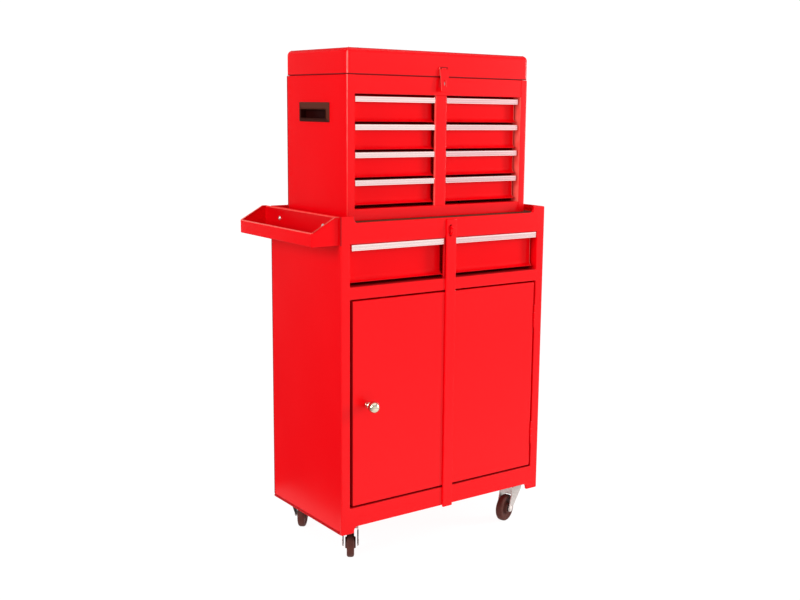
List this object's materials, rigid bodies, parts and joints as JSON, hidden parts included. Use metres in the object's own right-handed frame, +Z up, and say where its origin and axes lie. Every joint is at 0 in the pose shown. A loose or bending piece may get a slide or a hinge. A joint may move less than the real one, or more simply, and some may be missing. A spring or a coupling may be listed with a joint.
{
  "type": "rolling tool cabinet",
  "caption": "Rolling tool cabinet on swivel casters: cupboard with drawers above its door, side tray, and a lift-off chest of drawers with a hinged lid and hasp.",
  "frame": {"origin": "on the floor, under the middle of the outer box (side tray and knob included)", "axes": "+Z up, +Y to the back, +X to the right seen from the front"},
  "size_m": [0.581, 0.3408, 1.0381],
  "materials": {
    "red_enamel": "smooth gloss powder coat",
    "satin_aluminium": "satin extrusion with fine lengthwise lines",
    "zinc_steel": "bright zinc plate",
    "chrome": "polished chrome plate",
    "wheel_rubber": "moulded dark rubber",
    "black_plastic": "fine moulded grain",
    "mat_rubber": "matt foam rubber liner"
  },
  "bodies": {
    "cabinet": {"cabinet_wrap": "red_enamel", "cabinet_front_frame": "red_enamel", "cabinet_post": "red_enamel", "cabinet_floor": "red_enamel", "top_deck": "red_enamel", "deck_mat": "mat_rubber", "drawer_deck": "red_enamel", "cabinet_runners": "red_enamel", "side_tray": "red_enamel", "tray_screws": "zinc_steel", "bar_staple": "red_enamel", "frame_hinge_leaves": "red_enamel", "caster_plates": "zinc_steel"},
    "door": {"door_panel": "red_enamel", "door_hinge_leaves": "red_enamel", "door_hinge_pins": "zinc_steel", "door_knob": "chrome", "lock_bar": "red_enamel"},
    "chest": {"chest_wrap": "red_enamel", "chest_front_frame": "red_enamel", "chest_post": "red_enamel", "chest_floor": "red_enamel", "till_floor": "red_enamel", "chest_runners": "red_enamel", "chest_handles": "black_plastic", "hasp_staple": "zinc_steel", "lid_hinge_lower": "zinc_steel"},
    "lid": {"lid": "red_enamel", "lid_hinge_upper": "zinc_steel", "lid_hinge_pin": "zinc_steel", "hasp_bracket": "red_enamel"},
    "hasp": {"hasp_plate": "red_enamel"},
    "base_drawer_left": {"base_drawer_left": "red_enamel", "base_pull_left": "satin_aluminium"},
    "base_drawer_right": {"base_drawer_right": "red_enamel", "base_pull_right": "satin_aluminium"},
    "caster_front_left": {"caster_fork_front_left": "zinc_steel"},
    "wheel_front_left": {"caster_wheel_front_left": "wheel_rubber"},
    "caster_front_right": {"caster_fork_front_right": "zinc_steel"},
    "wheel_front_right": {"caster_wheel_front_right": "wheel_rubber"},
    "caster_rear_left": {"caster_fork_rear_left": "zinc_steel"},
    "wheel_rear_left": {"caster_wheel_rear_left": "wheel_rubber"},
    "caster_rear_right": {"caster_fork_rear_right": "zinc_steel"},
    "wheel_rear_right": {"caster_wheel_rear_right": "wheel_rubber"},
    "chest_drawer_left_1": {"chest_drawer_left_1": "red_enamel", "chest_pull_left_1": "satin_aluminium"},
    "chest_drawer_left_2": {"chest_drawer_left_2": "red_enamel", "chest_pull_left_2": "satin_aluminium"},
    "chest_drawer_left_3": {"chest_drawer_left_3": "red_enamel", "chest_pull_left_3": "satin_aluminium"},
    "chest_drawer_left_4": {"chest_drawer_left_4": "red_enamel", "chest_pull_left_4": "satin_aluminium"},
    "chest_drawer_right_1": {"chest_drawer_right_1": "red_enamel", "chest_pull_right_1": "satin_aluminium"},
    "chest_drawer_right_2": {"chest_drawer_right_2": "red_enamel", "chest_pull_right_2": "satin_aluminium"},
    "chest_drawer_right_3": {"chest_drawer_right_3": "red_enamel", "chest_pull_right_3": "satin_aluminium"},
    "chest_drawer_right_4": {"chest_drawer_right_4": "red_enamel", "chest_pull_right_4": "satin_aluminium"}
  },
  "joints": [
    {"name": "door_hinge", "type": "hinge", "parent": "cabinet", "child": "door", "pos_m": [0.2685, -0.13565, 0.342], "axis": [0, 0, 1], "range_deg": [0, 105]},
    {"name": "chest_lift", "type": "slide", "parent": "cabinet", "child": "chest", "axis": [0, 0, 1], "range_m": [0, 0.15]},
    {"name": "lid_hinge", "type": "hinge", "parent": "chest", "child": "lid", "pos_m": [0.0305, 0.13805, 0.9878], "axis": [-1, 0, 0], "range_deg": [0, 95]},
    {"name": "hasp_swing", "type": "hinge", "parent": "lid", "child": "hasp", "pos_m": [0.0305, -0.10575, 1.0055], "axis": [-1, 0, 0], "range_deg": [-8, 110]},
    {"name": "base_drawer_left_slide", "type": "slide", "parent": "cabinet", "child": "base_drawer_left", "axis": [0, -1, 0], "range_m": [0, 0.2]},
    {"name": "base_drawer_right_slide", "type": "slide", "parent": "cabinet", "child": "base_drawer_right", "axis": [0, -1, 0], "range_m": [0, 0.2]},
    {"name": "swivel_front_left", "type": "hinge", "parent": "cabinet", "child": "caster_front_left", "pos_m": [-0.184, -0.09465, 0.09], "axis": [0, 0, 1], "continuous": true},
    {"name": "wheel_front_left_spin", "type": "hinge", "parent": "caster_front_left", "child": "wheel_front_left", "pos_m": [-0.17287, -0.07684, 0.03], "axis": [-0.848, 0.5299, 0], "continuous": true},
    {"name": "swivel_front_right", "type": "hinge", "parent": "cabinet", "child": "caster_front_right", "pos_m": [0.245, -0.09465, 0.09], "axis": [0, 0, 1], "continuous": true},
    {"name": "wheel_front_right_spin", "type": "hinge", "parent": "caster_front_right", "child": "wheel_front_right", "pos_m": [0.22527, -0.10183, 0.03], "axis": [0.342, -0.9397, 0], "continuous": true},
    {"name": "swivel_rear_left", "type": "hinge", "parent": "cabinet", "child": "caster_rear_left", "pos_m": [-0.184, 0.11135, 0.09], "axis": [0, 0, 1], "continuous": true},
    {"name": "wheel_rear_left_spin", "type": "hinge", "parent": "caster_rear_left", "child": "wheel_rear_left", "pos_m": [-0.1705, 0.12744, 0.03], "axis": [-0.766, 0.6428, 0], "continuous": true},
    {"name": "swivel_rear_right", "type": "hinge", "parent": "cabinet", "child": "caster_rear_right", "pos_m": [0.245, 0.11135, 0.09], "axis": [0, 0, 1], "continuous": true},
    {"name": "wheel_rear_right_spin", "type": "hinge", "parent": "caster_rear_right", "child": "wheel_rear_right", "pos_m": [0.25044, 0.13163, 0.03], "axis": [-0.9659, 0.2588, 0], "continuous": true},
    {"name": "chest_drawer_left_1_slide", "type": "slide", "parent": "chest", "child": "chest_drawer_left_1", "axis": [0, -1, 0], "range_m": [0, 0.15]},
    {"name": "chest_drawer_left_2_slide", "type": "slide", "parent": "chest", "child": "chest_drawer_left_2", "axis": [0, -1, 0], "range_m": [0, 0.15]},
    {"name": "chest_drawer_left_3_slide", "type": "slide", "parent": "chest", "child": "chest_drawer_left_3", "axis": [0, -1, 0], "range_m": [0, 0.15]},
    {"name": "chest_drawer_left_4_slide", "type": "slide", "parent": "chest", "child": "chest_drawer_left_4", "axis": [0, -1, 0], "range_m": [0, 0.15]},
    {"name": "chest_drawer_right_1_slide", "type": "slide", "parent": "chest", "child": "chest_drawer_right_1", "axis": [0, -1, 0], "range_m": [0, 0.15]},
    {"name": "chest_drawer_right_2_slide", "type": "slide", "parent": "chest", "child": "chest_drawer_right_2", "axis": [0, -1, 0], "range_m": [0, 0.15]},
    {"name": "chest_drawer_right_3_slide", "type": "slide", "parent": "chest", "child": "chest_drawer_right_3", "axis": [0, -1, 0], "range_m": [0, 0.15]},
    {"name": "chest_drawer_right_4_slide", "type": "slide", "parent": "chest", "child": "chest_drawer_right_4", "axis": [0, -1, 0], "range_m": [0, 0.15]}
  ]
}
